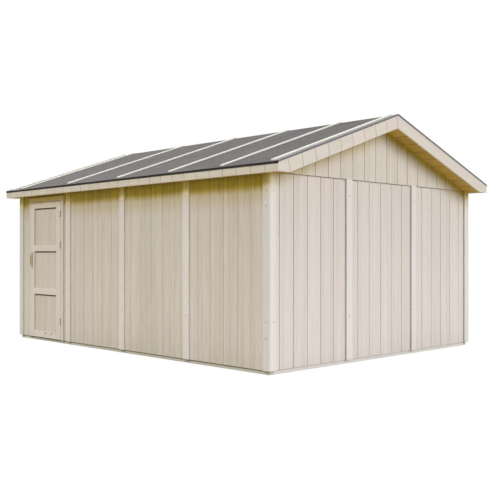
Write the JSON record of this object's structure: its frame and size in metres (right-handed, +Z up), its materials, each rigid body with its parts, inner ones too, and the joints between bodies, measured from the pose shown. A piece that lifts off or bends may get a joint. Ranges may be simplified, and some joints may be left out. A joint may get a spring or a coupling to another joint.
{
  "type": "timber garage",
  "caption": "Element-built timber garage with a low gable roof of felt and battens, a hinged side door and closed vehicle doors.",
  "frame": {"origin": "on the ground under the middle of the building", "axes": "+Z up, +Y towards the plain rear gable, +X towards the long wall with the side door, -Y towards the vehicle doors"},
  "size_m": [4.039, 5.486, 2.8422],
  "materials": {
    "wall_timber": "untreated softwood boards",
    "trim_timber": "planed untreated softwood",
    "door_timber": "planed untreated softwood",
    "frame_timber": "sawn softwood",
    "white_batten": "painted near white",
    "roofing_felt": "mineral-faced bitumen felt",
    "hinge_steel": "zinc plated",
    "handle_brass": "dull brass"
  },
  "bodies": {
    "garage": {"side_sills": "frame_timber", "end_sills": "frame_timber", "door_side_wall_boards": "wall_timber", "far_side_wall_boards": "wall_timber", "rear_wall_boards": "wall_timber", "front_pier_boards": "wall_timber", "door_bay_boards": "wall_timber", "door_bay_head_boards": "wall_timber", "front_lintel_boards": "wall_timber", "side_studs": "frame_timber", "end_studs": "frame_timber", "side_rails": "frame_timber", "end_rails": "frame_timber", "door_side_cover_strips": "trim_timber", "far_side_cover_strips": "trim_timber", "rear_cover_strips": "trim_timber", "side_corner_boards": "trim_timber", "gable_corner_boards": "trim_timber", "rear_gable_boards": "wall_timber", "front_gable_boards": "wall_timber", "side_wall_plates": "frame_timber", "end_wall_plates": "frame_timber", "ridge_board": "frame_timber", "rafters": "frame_timber", "tie_beams": "frame_timber", "eave_blocks": "frame_timber", "door_side_roof_boards": "frame_timber", "far_side_roof_boards": "frame_timber", "door_side_felt": "roofing_felt", "far_side_felt": "roofing_felt", "door_side_battens": "white_batten", "far_side_battens": "white_batten", "eave_fascias": "trim_timber", "eave_soffits": "frame_timber", "rear_verge_soffits": "frame_timber", "front_verge_soffits": "frame_timber", "rear_barge_door_side": "trim_timber", "rear_barge_far_side": "trim_timber", "front_barge_door_side": "trim_timber", "front_barge_far_side": "trim_timber", "door_jambs": "trim_timber", "door_head": "trim_timber", "door_threshold": "frame_timber", "door_frame_hinges": "hinge_steel", "gate_jambs": "trim_timber", "gate_head": "trim_timber", "gate_stiles": "door_timber", "gate_rails": "door_timber", "gate_panels": "door_timber", "gate_hinges": "hinge_steel", "gate_pull": "handle_brass"},
    "side_door": {"door_stiles": "door_timber", "door_rails": "door_timber", "door_panels": "door_timber", "door_leaf_hinges": "hinge_steel", "door_plates": "handle_brass", "door_pull": "handle_brass"}
  },
  "joints": [
    {"name": "side_door_hinge", "type": "hinge", "parent": "garage", "child": "side_door", "pos_m": [1.9255, -1.40925, 1], "axis": [0, 0, 1], "range_deg": [0, 160]}
  ]
}
